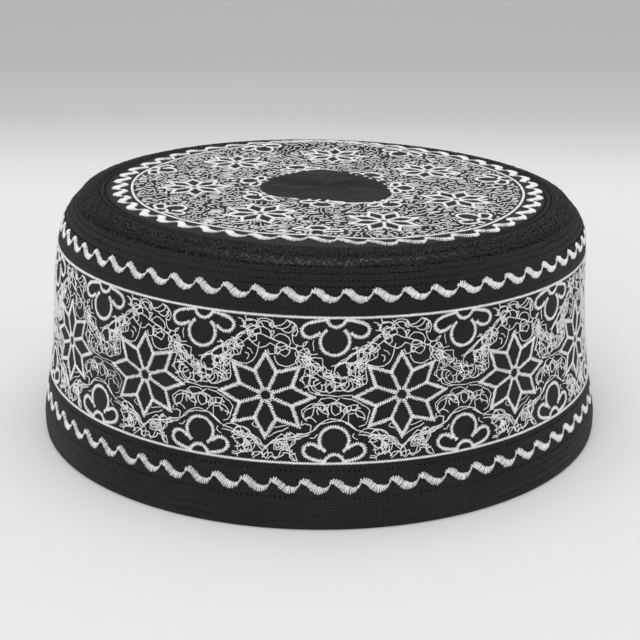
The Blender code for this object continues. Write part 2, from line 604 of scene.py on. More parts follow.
def crown_cloth_piece():
    """The crown: rings of its upper face, edge and lower face, closed by two fans."""
    radii = np.concatenate([np.arange(*span) for span in CROWN_RING_SPANS])
    turns = np.arange(CROWN_TURNS) * 2 * pi / CROWN_TURNS
    turn, radius = np.meshgrid(turns, radii)
    x, y = radius * np.sin(turn), -radius * np.cos(turn)
    upper, _ = crown_at(x, y, crown_relief(x, y))
    rest = []
    for place, lift in [*CROWN_EDGE, *((ring, -CLOTH_THICKNESS) for ring in UNDER_RINGS)]:
        rest.append(crown_at(place * np.sin(turns), -place * np.cos(turns), lift)[0])
    rings = np.concatenate([upper, np.array(rest)])
    count = len(rings)
    top, _ = crown_at(np.zeros(1), np.zeros(1), np.zeros(1))
    under, _ = crown_at(np.zeros(1), np.zeros(1), np.full(1, -CLOTH_THICKNESS))
    points = np.concatenate([rings.reshape(-1, 3), top, under])
    quads = ring_faces(count, CROWN_TURNS)[:, ::-1]
    here = np.arange(CROWN_TURNS)
    after = (here + 1) % CROWN_TURNS
    last = (count - 1) * CROWN_TURNS
    cap = np.stack([here, after, np.full(CROWN_TURNS, len(points) - 2)], -1)
    base = np.stack([last + after, last + here, np.full(CROWN_TURNS, len(points) - 1)], -1)
    split = np.concatenate([quads[:, [0, 1, 2]], quads[:, [0, 2, 3]], cap, base])
    piece = new_piece("crown_top_cloth", points, split, crown_cloth, "crown_cloth")
    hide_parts("crown_top")


# The line over the crown's edge that the overcast stitches follow: (radius, height)
RIM_SECTIONS = (
    (75.2, 77.7), (76.4, 77.6), (77.4, 77.4), (78.3, 77.15), (79.15, 76.95), (79.95, 76.55),
    (80.6, 75.9), (80.95, 75.2), (81.3, 74.8), (82.0, 74.4),
)
OVERCAST_RADIUS = 79.0
OVERCAST_ROWS = 7
OVERCAST_COUNT = 820
OVERCAST_LENGTH = 1.9
OVERCAST_SLANT = 0.7
OVERCAST_LIFTS = (-0.12, 0.1, 0.16, 0.1, -0.12)
OVERCAST_START = 0.9
OVERCAST_SPARE = 1.6
OVERCAST_SCATTER = 0.25


def overcast_stitches(rng):
    """Short black threads that cross each other over the crown's seam."""
    rim = np.array(RIM_SECTIONS)
    reach = reach_along(rim)
    total = OVERCAST_ROWS * OVERCAST_COUNT
    row = np.repeat(np.arange(OVERCAST_ROWS), OVERCAST_COUNT)
    middle = OVERCAST_START + (reach[-1] - OVERCAST_SPARE) * row / (OVERCAST_ROWS - 1)
    middle = middle + rng.normal(0.0, OVERCAST_SCATTER, total)
    turn = np.tile(np.arange(OVERCAST_COUNT) * 2 * pi / OVERCAST_COUNT, OVERCAST_ROWS)
    turn = turn + rng.normal(0.0, 0.002, total)
    side = np.where(rng.random(total) < 0.5, -1.0, 1.0)
    slant = side * OVERCAST_SLANT * rng.uniform(0.5, 1.3, total)
    length = OVERCAST_LENGTH * rng.uniform(0.7, 1.2, total)
    share = np.linspace(-0.5, 0.5, len(OVERCAST_LIFTS))[None, :]
    place = np.clip(middle[:, None] + share * (length * np.cos(slant))[:, None], 0.0, reach[-1])
    angle = turn[:, None] + share * (length * np.sin(slant) / OVERCAST_RADIUS)[:, None]

    def at(where):
        return np.interp(where, reach, rim[:, 0]), np.interp(where, reach, rim[:, 1])

    radius, height = at(place)
    ahead, behind = at(place + 0.4), at(place - 0.4)
    tangent = unit(np.stack([ahead[0] - behind[0], ahead[1] - behind[1]], -1))
    out = outward(angle)
    ups = -out * tangent[..., 1:2]
    ups[..., 2] = tangent[..., 0]
    lift = np.array(OVERCAST_LIFTS) + rng.uniform(-0.04, 0.1, total)[:, None]
    points = out * radius[..., None]
    points[..., 2] = height
    points = settled(points + ups * lift[..., None])
    half = np.repeat(rng.uniform(0.14, 0.22, total)[:, None], len(OVERCAST_LIFTS) - 2, 1)
    black = (black_thread, "overcast_thread")
    thread_piece("overcast_stitches", points, ups, half, half * 0.95, 3, *black)


# Embroidery motifs

STAR_POINTS = 8
STAR_TIP = 12.9
STAR_NOTCH = 7.8
STAR_RING = 1.85
STAR_SQUASH = 0.95
STAR_UNDERLAY = 0.35
EDGE_SLANT = 0.8
SPOKE_SLANT = 0.6
RING_SLANT = 0.3
SPOKE_START = STAR_RING + 0.3
SPOKE_END = STAR_NOTCH + 0.2
LINE_WIDTH = 1.0


def star_lines(centre, scale, squash, turn, rng):
    """An eight-pointed star: outline, spokes to its notches and a small ring."""
    centre = np.array(centre, float)
    half_point = 180 / STAR_POINTS
    parts = []

    def polar(radius, angle):
        angle = radians(angle) + turn
        return centre + scale * radius * np.array([cos(angle), squash * sin(angle)])

    def sew(start, end, slant):
        parts.append(satin([start, end], LINE_WIDTH, slant, rng))
        parts.append(run([start, end], rng, thread=STAR_UNDERLAY))

    for point in range(STAR_POINTS):
        angle = 90 + 2 * half_point * point
        tip = polar(STAR_TIP, angle)
        for side in (-1, 1):
            sew(polar(STAR_NOTCH, angle + half_point * side), tip, EDGE_SLANT * side)
        between = angle + half_point
        sew(polar(SPOKE_START, between), polar(SPOKE_END, between), SPOKE_SLANT)
    ring = arc(centre, STAR_RING * scale, 0, 360)
    parts.append(satin(ring, LINE_WIDTH, RING_SLANT, rng))
    return joined(parts)


PETAL_RADIUS = 4.0
PETAL_DISTANCE = 6.7
PETAL_ARC = (-52, 232)
HUB_RADIUS = 2.65
FLOWER_UNDERLAY = 0.5
FLOWER_SLANT = 0.15
FLOWER_PITCH = 0.6
SMALL_LINE = 0.85
SIDE_PETAL = (
    (2.9, 0.6), (5.4, 1.0), (7.8, 1.75), (9.1, 2.95), (9.1, 4.3), (8.2, 5.35), (6.7, 5.65),
    (5.3, 5.15), (4.3, 4.4),
)


def half_flower(scale, spread, dip, rng, place):
    """A half flower on a rail; place maps across and off the rail to the design.

    spread widens its side petals and dip is how far its hub goes past a half
    round, in degrees.
    """
    parts = []
    side = smooth_path(SIDE_PETAL) * [spread, 1.0]
    hub = arc((0, 0), HUB_RADIUS, -dip, 180 + dip)
    petal = arc((0, PETAL_DISTANCE), PETAL_RADIUS, *PETAL_ARC)
    width = LINE_WIDTH * max(scale, SMALL_LINE)
    for line in (hub, petal, side, side * [-1.0, 1.0]):
        path = place(line * scale)
        parts.append(satin(path, width, FLOWER_SLANT, rng, pitch=FLOWER_PITCH))
        parts.append(run(path, rng, step=0.9, thread=FLOWER_UNDERLAY))
    return joined(parts)


# One scroll of the borders, with its thick middle and hair-thin link: (across, up, width)
SCROLL = (
    (0.0, 2.9, 0.45), (0.7, 3.35, 1.3), (1.8, 3.15, 1.75), (2.8, 2.5, 1.9),
    (3.8, 1.65, 1.95), (4.8, 1.15, 1.95), (5.8, 1.0, 1.8), (6.7, 1.05, 1.45),
    (7.5, 1.4, 0.95), (8.1, 1.9, 0.4), (8.6, 2.5, 0.2),
)
SCROLL_LENGTH = 8.66
SCROLL_SATIN = {"slant": 0.12, "pitch": 0.52, "thread": 0.5}


def scroll_border(count, length, thicker, rng, place):
    """Scrolls end to end; place maps along the border and up it to the design."""
    path = smooth_path([(across / SCROLL_LENGTH * length, up) for across, up, _ in SCROLL])
    reach = reach_along(path)
    widths = (reach[::PATH_STEPS] / reach[-1], [width * thicker for _, _, width in SCROLL])
    parts = []
    for index in range(count):
        shifted = path + np.array([index * length, 0.0])
        parts.append(mapped(satin(shifted, widths, rng=rng, **SCROLL_SATIN), place))
    return joined(parts)


# The filling of one repeat of the band, charted round the flower's
# axis and round the star's. A curl is the size of the loops that a thread
# makes on its way; without one it follows the line.

RAIL_LOW = 19.85
RAIL_HIGH = 62.15
STAR_HEIGHT = 39.2
REPEATS = 15
REPEAT_LENGTH = BAND_GIRTH / REPEATS
FLOWER_TURN = radians(2.4)

Trail = namedtuple("Trail", "passes curl points")
FLOWER_TRAILS = (
    Trail(1, 0, ((-7.5, 48), (-8.2, 46), (-8.6, 43.3), (-7, 42.6), (-5, 42.7), (-3.6, 43.6))),
    Trail(1, 0, ((-5.3, 45.2), (-7.2, 44.2), (-6.2, 42.3), (-5.6, 41.2), (-3.2, 39.9))),
    Trail(1, 0, ((-8, 40.1), (-2.6, 39.9), (0.9, 39.6), (3.9, 39.7), (8, 40))),
    Trail(1, 0, ((-2, 44.3), (-2.5, 42.9), (-1.7, 40.4), (0, 41.2), (0.5, 42.2))),
    Trail(1, 0, ((2.2, 42.4), (3.3, 40.7), (5.2, 42.2), (4.6, 44), (2.5, 45.4))),
    Trail(1, 0, ((4.7, 41.3), (7.8, 42.5), (9, 43.6), (8.7, 45), (8.6, 48), (9, 49.8))),
    Trail(1, 0, ((0.7, 48.6), (2.2, 49.7), (4.2, 48.6), (4.1, 47.2), (3.4, 46.3))),
    Trail(2, 0, ((3.4, 45.9), (5.3, 45.2), (7.1, 44.3), (8.2, 44.8))),
    Trail(1, 0, ((-9.5, 49.4), (-7.6, 47.8), (-5.6, 46.6), (-3.6, 45.3), (-0.6, 43.6))),
    Trail(2, 1.7, ((-8.5, 44.5), (-5, 42.4), (0, 41.7), (5, 42.4), (8.5, 44.5))),
    Trail(1, 1.1, ((-10, 51.5), (-6, 48.8), (-2.5, 46.6), (0.5, 44.6))),
    Trail(1, 1.1, ((0.5, 44.6), (3.5, 46.5), (6.5, 48.8), (10, 51.5))),
    Trail(2, 0, ((-0.2, 47.6), (1, 49.2), (3, 50.6), (6.2, 52.6), (7.6, 53.3))),
    Trail(1, 0, ((-8.8, 35.1), (-6.2, 37.1), (-4, 37.2), (-1.7, 35.8), (-1.7, 33.3))),
    Trail(1, 0, ((-5, 36.5), (-3.4, 38.8), (-0.8, 39), (0.7, 38.3))),
    Trail(1, 0, ((1.5, 38.9), (-0.4, 37.2), (-0.9, 35.6), (0.3, 33.9), (2, 35.2), (1.5, 37.6))),
    Trail(1, 0, ((2, 39), (4.8, 38.5), (7.4, 37), (9.6, 35.2), (9.3, 33.8), (8.4, 31), (6.9, 30.6))),
    Trail(1, 0, ((0.2, 37.2), (2.3, 37.1), (3.4, 35.4), (2, 32.9), (1.6, 32.4))),
    Trail(1, 0, ((3.7, 34.4), (5, 35.7), (5.8, 35), (6.4, 37.3))),
    Trail(1, 0, ((3.9, 34.1), (5.6, 34.5), (6.6, 33.6), (8.5, 32.7))),
    Trail(1, 0, ((3.8, 34), (3.9, 31.6))),
    Trail(1, 0, ((-4.3, 34), (-4.8, 35.4), (-3.6, 36.3))),
    Trail(1, 0, ((-8.9, 35), (-8.3, 32.7), (-7, 33.5), (-5.2, 32.6), (-4.8, 31.9))),
    Trail(1, 0, ((-8.6, 32.4), (-8.7, 30.5), (-7.6, 31.4), (-6.3, 31), (-6.5, 29.2))),
    Trail(2, 1.7, ((-7.8, 33.8), (-4, 35.8), (0, 36.2), (4, 35.8), (7.8, 33.8))),
    Trail(2, 0, ((-9.6, 27.6), (-6.4, 28.9), (-3.6, 31.2), (-0.3, 32.2), (3, 31.6), (6.2, 29.5))),
    Trail(1, 0, ((3, 31.6), (6.2, 29.5), (9, 28.4), (12, 27.6))),
)
STAR_TRAILS = (
    Trail(1, 0, ((-6.4, 61.6), (-6.8, 60.9), (-5.7, 60.2), (-4.2, 60.6))),
    Trail(1, 0, ((-7.4, 59.9), (-6.1, 59.9), (-7, 58.9), (-5.5, 57.8))),
    Trail(1, 0, ((-9, 54.3), (-7.6, 56.4), (-6, 56.5))),
    Trail(1, 0, ((-4.4, 61.8), (-2.9, 61.1), (-1.5, 59.4), (0, 58.4))),
    Trail(1, 0, ((5.2, 61.8), (7.5, 59.9), (6.2, 57.5), (3.8, 58.5))),
    Trail(2, 1.5, ((-8.4, 59.2), (-4, 59.7), (0, 59.6), (4, 59.7), (8.4, 59.2))),
    Trail(1, 1.7, ((-19.2, 46), (-15.4, 47.8), (-12, 50.8), (-8.4, 53.4), (-4.5, 56), (0, 57.4))),
    Trail(1, 1.7, ((0, 57.4), (4.5, 55.8), (8.4, 53.2), (12, 50.6), (15.4, 47.8), (19.4, 45.4))),
    Trail(1, 0, ((-14.5, 48.6), (-9.8, 51.6), (-6, 54.6), (-3, 57), (0.5, 56))),
    Trail(1, 0, ((0.5, 56), (4.5, 54.6), (10, 51.8), (14.5, 48.8))),
    Trail(1, 0, ((-5.4, 55.2), (-2.4, 53.2), (-0.6, 53), (1.6, 54.6), (3, 52), (1.3, 50.9), (0.5, 52.6))),
    Trail(1, 0, ((-1.8, 54.4), (-2.6, 50.9), (-4.2, 48.4), (-6.8, 47.9), (-10.6, 49))),
    Trail(1, 0, ((2.4, 50.8), (3.3, 48.4), (6.2, 48), (9.2, 49.5))),
    Trail(1, 0, ((-15.2, 52.2), (-13, 53.8), (-12.4, 52), (-12.2, 50.2))),
    Trail(1, 1.5, ((-13, 52.5), (-10, 54.6), (-7.6, 57))),
    Trail(1, 1.5, ((13, 52.5), (10, 54.6), (7.6, 57))),
    Trail(1, 0, ((-9.4, 27), (-7.4, 29.5), (-4.6, 28.2), (-1.8, 25))),
    Trail(1, 0, ((-9.4, 26), (-8.4, 25.5), (-5.6, 27), (-4.6, 27.9))),
    Trail(1, 0, ((-8.6, 25.6), (-9.9, 22.4), (-7.5, 22.6), (-6.6, 22.8))),
    Trail(1, 0, ((-11.8, 20.6), (-9.4, 21.6), (-7.2, 21.6), (-7.4, 20.5))),
    Trail(2, 0, ((-12, 28), (-7, 27), (-3.4, 26), (-0.4, 23), (3, 26.3), (7.4, 27.1), (12, 28.6))),
    Trail(1, 1.8, ((-9.6, 25.6), (-5.5, 24.2), (0, 22.8), (5.5, 24.2), (9.6, 25.6))),
    Trail(1, 1.1, ((-9, 21.9), (-4.5, 22), (0, 21.6), (4.5, 22), (9, 21.9))),
    Trail(1, 1.6, ((-10.4, 28.2), (-7.6, 28.2), (-5, 26.8), (-2.4, 24.6))),
    Trail(1, 1.6, ((2.4, 25), (5, 27.2), (7.6, 28.4), (10.4, 28.6))),
    Trail(1, 0, ((-0.4, 26.1), (2.6, 28.4), (4.6, 28.9), (6.4, 30))),
    Trail(1, 0, ((4.2, 23.2), (6.2, 23.8), (8.2, 22.2), (9, 20.5))),
    Trail(1, 0, ((0.7, 20.5), (1.9, 21.6), (3.3, 20.7), (4.4, 23))),
    Trail(1, 0, ((-3.4, 20.6), (-1.8, 21.8), (-0.8, 22.6))),
    Trail(1, 0, ((6, 28.6), (6.5, 27.6), (7.4, 28.5), (6.6, 29.1))),
)

# Knots: small patches where the thread loops over itself
Knot = namedtuple("Knot", "across up reach loop length")
FLOWER_KNOTS = (
    Knot(1.1, 44.2, reach=2.2, loop=1.4, length=20),
    Knot(6.4, 47.7, reach=3.0, loop=1.6, length=40),
    Knot(-5.8, 48.4, reach=2.8, loop=1.5, length=26),
    Knot(-2.4, 46.0, reach=2.2, loop=1.4, length=14),
)
STAR_KNOTS = (
    Knot(-4.1, 57.3, reach=2.4, loop=1.4, length=24),
    Knot(-8.7, 52.0, reach=2.6, loop=1.4, length=26),
    Knot(4.6, 52.9, reach=2.4, loop=1.4, length=20),
    Knot(10.3, 50.6, reach=2.6, loop=1.4, length=24),
    Knot(-5.2, 24.2, reach=2.4, loop=1.3, length=22),
    Knot(4.6, 25.0, reach=2.2, loop=1.3, length=18),
    Knot(-7.4, 26.0, reach=2.4, loop=1.5, length=12),
    Knot(7.6, 26.2, reach=2.4, loop=1.5, length=12),
    Knot(7.6, 22.6, reach=2.0, loop=1.3, length=12),
)
CURL_STEP = 0.2
CURL_PITCH = 2.6
CURL_HOLD = 18
PASS_SPREAD = 0.42
KNOT_STEP = 0.5
REPEAT_SCATTER = 0.06


def curled(path, curl, rng):
    """A path that loops round and back on its way, now one way and now the other."""
    points, along, _ = walk(path, CURL_STEP)
    count = len(points)
    speed = 2 * pi * CURL_STEP / (CURL_PITCH * curl) * rng.uniform(0.6, 1.4, count)
    way = np.repeat(rng.choice([-1.0, 1.0], count // CURL_HOLD + 1), CURL_HOLD)[:count]
    angle = rng.uniform(0, 2 * pi) + np.cumsum(speed * way)
    size = curl * (0.9 + 0.3 * np.sin(np.cumsum(rng.normal(0.0, 0.15, count))))
    turn = along * np.cos(angle)[:, None] + sideways(along) * np.sin(angle)[:, None]
    return points + turn * size[:, None]


def knot_path(knot, rng):
    """A thread that circles while its centre drifts about inside the knot."""
    count = int(knot.length / KNOT_STEP)
    angle = rng.uniform(0, 2 * pi) + np.cumsum(rng.normal(KNOT_STEP / knot.loop, 0.14, count))
    room = max(knot.reach - knot.loop, 0.1)
    drift = np.cumsum(rng.normal(0.0, 0.75, (count, 2)), axis=0)
    drift = room * np.sin(0.8 * drift)
    size = knot.loop * (1.0 + 0.25 * np.sin(np.cumsum(rng.normal(0.0, 0.4, count))))
    turn = np.stack([np.cos(angle), np.sin(angle)], -1) * size[:, None]
    return np.array([knot.across, knot.up]) + drift + turn


def filling(trails, knots, rng):
    parts = []
    for trail in trails:
        for _ in range(trail.passes):
            spread = 0.0 if trail.passes == 1 else PASS_SPREAD
            points = np.array(trail.points) + rng.normal(0.0, spread, (len(trail.points), 2))
            path = smooth_path(points)
            if trail.curl:
                path = curled(path, trail.curl, rng)
            parts.append(run(path, rng))
    for knot in knots:
        parts.append(run(knot_path(knot, rng), rng, step=1.3))
    return joined(parts)


def moved(stitches, across):
    return mapped(stitches, stretch_and_shift(1.0, [across, 0.0]))


def warped(stitches, rng):
    """Each repeat is stitched a little differently from the last."""
    shift = rng.normal(0.0, REPEAT_SCATTER, stitches.start.shape)
    return mapped(stitches, stretch_and_shift(1.0, shift))


def in_star(points, centre, scale, squash, turn, margin):
    """True where a point is inside a star or within the margin round it."""
    away = (points - centre) / np.array([1.0, squash])
    radius = np.hypot(away[:, 0], away[:, 1])
    angle = np.arctan2(away[:, 1], away[:, 0]) - turn - pi / 2
    span = pi / STAR_POINTS
    fold = np.abs((angle + span) % (2 * span) - span)
    tip, notch = STAR_TIP * scale, STAR_NOTCH * scale
    edge = tip * notch * sin(span) / (tip * np.sin(fold) + notch * np.sin(span - fold))
    return radius < edge + margin


# Rounds that cover half a flower: its hub, its petal and a side petal, as
# (across, off the rail, radius)
FLOWER_ROUNDS = (
    (0.0, 0.0, HUB_RADIUS),
    (0.0, PETAL_DISTANCE, PETAL_RADIUS),
    (5.2, 3.0, 2.4), (7.2, 3.7, 2.1),
)


def in_flower(points, base, out, scale, margin):
    """True where a point is inside a half flower or within the margin round it."""
    away = points - base
    off = away @ out
    across = np.abs(away @ np.array([out[1], -out[0]]))
    inside = np.zeros(len(points), bool)
    for aside, outward_by, radius in FLOWER_ROUNDS:
        distance = np.hypot(across - aside * scale, off - outward_by * scale)
        inside |= distance < radius * scale + margin
    return inside


def clear_of_motifs(points, stars, flowers, star_margin, flower_margin):
    """True where a point is outside every star and flower and their margins."""
    clear = np.ones(len(points), bool)
    for centre, scale, squash, turn in stars:
        clear &= ~in_star(points, centre, scale, squash, turn, star_margin)
    for base, out, scale in flowers:
        clear &= ~in_flower(points, base, out, scale, flower_margin)
    return clear


TRIM_SHARES = (0.15, 0.5, 0.85)
JOIN_REACH = 1.0


def trimmed(fill, *motifs):
    """Leaves out the stitches that would cross a star or a flower, and lone ones."""
    keep = np.ones(len(fill.width), bool)
    for share in TRIM_SHARES:
        keep &= clear_of_motifs(fill.start * (1 - share) + fill.end * share, *motifs)
    joins = np.linalg.norm(fill.start[1:] - fill.end[:-1], axis=1) < JOIN_REACH
    linked = keep[1:] & keep[:-1] & joins
    alone = ~(np.append(linked, False) | np.insert(linked, 0, False))
    return kept(fill, keep & ~alone)


# Curls fill the ground between the motifs. Each thread follows a field of
# directions that whirls, and keeps a gap from the threads already there.

CURL_STRIDE = 0.4
CURL_OWN = 6
CURL_SHORTEST = 7
GROUND_PITCH = 0.25


def whirls(waves, swing, rng):
    """A field of directions made of a few waves; it gives the angle at a point."""
    phases = rng.uniform(0, 2 * pi, len(waves))
    swings = swing * rng.uniform(0.6, 1.4, len(waves))

    def angle(point):
        return float((swings * np.sin(waves @ point + phases)).sum())

    return angle


def even_curls(corner, size, is_ground, field, gap, longest, taken, wraps, rng):
    """Lines that curl over the ground; wraps makes them go on past the right edge."""
    counts = (np.array(size) / GROUND_PITCH).astype(int)
    rows = [(np.arange(count) + 0.5) * GROUND_PITCH for count in counts]
    centres = np.stack(np.meshgrid(*rows, indexing="ij"), -1).reshape(-1, 2) + corner
    ground = is_ground(centres).reshape(counts)
    most = int(size[0] * size[1] / (CURL_STRIDE * gap)) + len(taken)
    held = np.full((most, 2), 1e6)
    held[: len(taken)] = taken
    used = len(taken)

    def is_free(point, distance):
        cell = ((point - corner) / GROUND_PITCH).astype(int)
        if wraps:
            cell[0] %= counts[0]
        if (cell < 0).any() or (cell >= counts).any() or not ground[cell[0], cell[1]]:
            return False
        away = np.abs(held[:used] - point)
        if wraps:
            away[:, 0] %= size[0]
            away[:, 0] = np.minimum(away[:, 0], size[0] - away[:, 0])
        return not ((away**2).sum(1) < distance**2).any()

    seeds = rng.permutation(centres[ground.ravel()])[::3]
    lines = []
    for seed in seeds:
        if used + longest > most or not is_free(seed, gap):
            continue
        halves = []
        for way in (1, -1):
            half = [seed]
            for _ in range(int(longest * rng.uniform(0.25, 0.5))):
                angle = field(half[-1])
                point = half[-1] + way * CURL_STRIDE * np.array([cos(angle), sin(angle)])
                own = half[:-CURL_OWN]
                if halves and own:
                    own = own + halves[0]
                if own and (((np.array(own) - point) ** 2).sum(1) < (0.8 * gap) ** 2).any():
                    break
                if not is_free(point, 0.85 * gap):
                    break
                half.append(point)
            halves.append(half)
        line = halves[1][:0:-1] + halves[0]
        if len(line) >= CURL_SHORTEST:
            lines.append(np.array(line))
            held[used : used + len(line)] = line
            used += len(line)
    return lines


def lay_white(name, place, parts, shares, bed, rise):
    lay(name, place, joined(parts), shares, bed, rise, white_thread, "white_thread")


def level_lines(heights, start):
    """Lines once round the band; start moves both ends along."""
    return [[(start, height), (BAND_GIRTH + start, height)] for height in heights]


UP = np.array([0.0, 1.0])
STAR_MARGIN = 1.0
FLOWER_MARGIN = 0.9
FLOWER_DIP = -4
LOW_FLOWER_SPREAD = 0.9
RAIL_CLEARANCE = 0.4
CURL_CLEARANCE = 0.8
BAND_CURL_GAP = 1.12
BAND_CURL_SWING = 0.8
BAND_CURL_LONGEST = 60
BAND_CURL_STITCH = {"step": 1.1, "thread": 0.33}
# The waves of the band's field: (turns in a repeat, radians a millimetre up)
BAND_CURL_WAVES = ((2, 0.8), (-5, 0.5), (4, -0.7), (6, 0.3), (-1, 1.0), (5, 0.8))


def one_repeat(rng):
    """The filling of one repeat and the curls between it, centred on its star."""
    half = 0.5 * REPEAT_LENGTH
    star_fill = filling(STAR_TRAILS, STAR_KNOTS, rng)
    flower_fill = moved(filling(FLOWER_TRAILS, FLOWER_KNOTS, rng), half)
    stars = [((centre, STAR_HEIGHT), 1.0, STAR_SQUASH, 0.0) for centre in (0.0, REPEAT_LENGTH)]
    flowers = []
    for side in (-half, half):
        flowers.append((np.array([side, RAIL_LOW]), UP, 1.0))
        flowers.append((np.array([side, RAIL_HIGH]), -UP, 1.0))
    motifs = (stars, flowers, STAR_MARGIN, FLOWER_MARGIN)
    fill = trimmed(joined([star_fill, flower_fill]), *motifs)
    heights = np.stack([fill.start[:, 1], fill.end[:, 1]], 1)
    above = heights.min(1) > RAIL_LOW + RAIL_CLEARANCE
    fill = kept(fill, above & (heights.max(1) < RAIL_HIGH - RAIL_CLEARANCE))

    def is_ground(points):
        return clear_of_motifs(points, *motifs)

    corner = np.array([-half, RAIL_LOW + CURL_CLEARANCE])
    size = (REPEAT_LENGTH, RAIL_HIGH - RAIL_LOW - 2 * CURL_CLEARANCE)
    waves = np.array([(2 * pi * turns / REPEAT_LENGTH, rise) for turns, rise in BAND_CURL_WAVES])
    taken = np.concatenate([fill.start, (fill.start + fill.end) / 2, fill.end])
    field = whirls(waves, BAND_CURL_SWING, rng)
    reach = (BAND_CURL_GAP, BAND_CURL_LONGEST)
    lines = even_curls(corner, size, is_ground, field, *reach, taken, True, rng)
    return fill, joined(run(line, rng, **BAND_CURL_STITCH) for line in lines)


def band_embroidery(rng):
    fill, curls = one_repeat(rng)
    star_parts, flower_parts, fill_parts, curl_parts = [], [], [], []
    for repeat in range(REPEATS):
        axis = REFERENCE_RADIUS * FLOWER_TURN + repeat * REPEAT_LENGTH
        star_axis = axis + 0.5 * REPEAT_LENGTH
        star_parts.append(star_lines((star_axis, STAR_HEIGHT), 1.0, STAR_SQUASH, 0.0, rng))
        upright = stretch_and_shift(1.0, [axis, RAIL_LOW])
        upended = stretch_and_shift([1.0, -1.0], [axis, RAIL_HIGH])
        flower_parts.append(half_flower(1.0, LOW_FLOWER_SPREAD, FLOWER_DIP, rng, upright))
        flower_parts.append(half_flower(1.0, 1.0, FLOWER_DIP, rng, upended))
        fill_parts.append(warped(moved(fill, star_axis), rng))
        curl_parts.append(warped(moved(curls, star_axis), rng))
    rails = [rail(line, rng) for line in level_lines((RAIL_LOW, RAIL_HIGH), 0.0)]
    lay_white("band_stars", on_band, star_parts, SATIN_SHARES, 0.14, 0.24)
    lay_white("band_flowers", on_band, flower_parts, SATIN_SHARES, 0.14, 0.24)
    lay_white("band_rails", on_band, rails, RUN_SHARES, 0.14, 0.24)
    lay_white("band_filling", on_band, fill_parts, RUN_SHARES, 0.1, 0.24)
    lay_white("band_curls", on_band, curl_parts, RUN_SHARES, 0.08, 0.24)


Border = namedtuple("Border", "count height turn stretch")
BORDERS = (
    Border(count=70, height=10.9, turn=radians(-3.43), stretch=1.14),
    Border(count=66, height=66.1, turn=radians(-2.5), stretch=1.0),
)


def band_scrolls(rng):
    parts = []
    for border in BORDERS:
        base = [border.turn * REFERENCE_RADIUS, border.height]
        place = stretch_and_shift([1.0, border.stretch], base)
        parts.append(scroll_border(border.count, BAND_GIRTH / border.count, 1.0, rng, place))
    lay_white("band_scrolls", on_band, parts, SATIN_SHARES, 0.22, 0.26)


# The crown's pattern. Its stars were not sewn quite evenly round.

# The middles of its stars, then the hubs of its half flowers: (turn in degrees, radius)
CROWN_STARS = (
    (-28.35, 42.7), (21.7, 46.8), (70.2, 44.6), (124.7, 43.3), (175.8, 46.5), (224.5, 44.7),
    (278.0, 43.5),
)
CROWN_STAR_SCALE = 0.86
OUTER_FLOWERS = (
    (-2.8, 60.0), (50.4, 62.5), (104.5, 62.9), (151.8, 64.0), (202.5, 64.3), (252.0, 64.2),
    (305.4, 63.8),
)
INNER_FLOWERS = (
    (-2.9, 20.7), (41.0, 26.4), (87.4, 21.5), (135.7, 18.4), (200.6, 22.9), (259.7, 21.0),
    (307.8, 24.4),
)
CROWN_RAIL = 65.0
CROWN_FLOWER_SCALE = 0.9
INNER_FLOWER_SCALE = 0.72
CROWN_FLOWER_SPREAD = 0.95
CROWN_HUB_DIP = 25
CROWN_SCROLLS = 48
CROWN_SCROLL_EDGE = 71.5
CROWN_SCROLL_TURN = radians(-5.2)
CROWN_SCROLL_STRETCH = 1.25
CROWN_SCROLL_THICKER = 1.12

# The plain middle is an uneven round; its edge: (turn in degrees, radius)
DISC_EDGE = (
    (-180, 24.0), (-165, 23.2), (-150, 20.5), (-130, 19.8), (-110, 20.9), (-80, 21.9),
    (-58, 22.9), (-48, 23.4), (-38, 21.7), (-27, 20.1), (-15, 19.0), (-5, 18.7), (2, 20.2),
    (8, 21.6), (17, 23.2), (26, 24.1), (36, 25.8), (44, 25.7), (53, 24.7), (64, 23.5),
    (77, 21.9), (90, 20.6), (115, 19.0), (133, 18.6), (149, 19.2), (164, 20.7), (174, 22.8),
    (180, 24.0),
)
disc_edge = curve_of(DISC_EDGE)


def turned_point(radius, turn):
    return np.stack([radius * np.sin(turn), -radius * np.cos(turn)], -1)


def round_crown(radius, turn, inward):
    """A map of across and up onto the crown at a turn, up pointing in or out."""

    def place(points):
        points = np.asarray(points, float)
        away = radius - points[..., 1] if inward else radius + points[..., 1]
        return turned_point(away, turn + points[..., 0] / radius)

    return place


def edge_of_disc(turn):
    degrees = (np.degrees(turn) + 180.0) % 360.0 - 180.0
    return disc_edge(degrees)[0]


FILL_OUTER = 64.2
DISC_MARGIN = 1.0
CROWN_STAR_MARGIN = 0.75
CROWN_FLOWER_MARGIN = 0.8
CROWN_CURL_GAP = 0.88
CROWN_CURL_WAVES = 14
CROWN_WAVE_LENGTHS = (5.0, 9.0)
CROWN_CURL_SWING = 0.9
CROWN_CURL_LONGEST = 50
CROWN_CURL_STITCH = {"step": 1.1, "jitter": 0.06, "thread": 0.42}
DISC_LINES = (0.4, 0.9)
DISC_LINE_STITCH = {"step": 1.3, "jitter": 0.12}


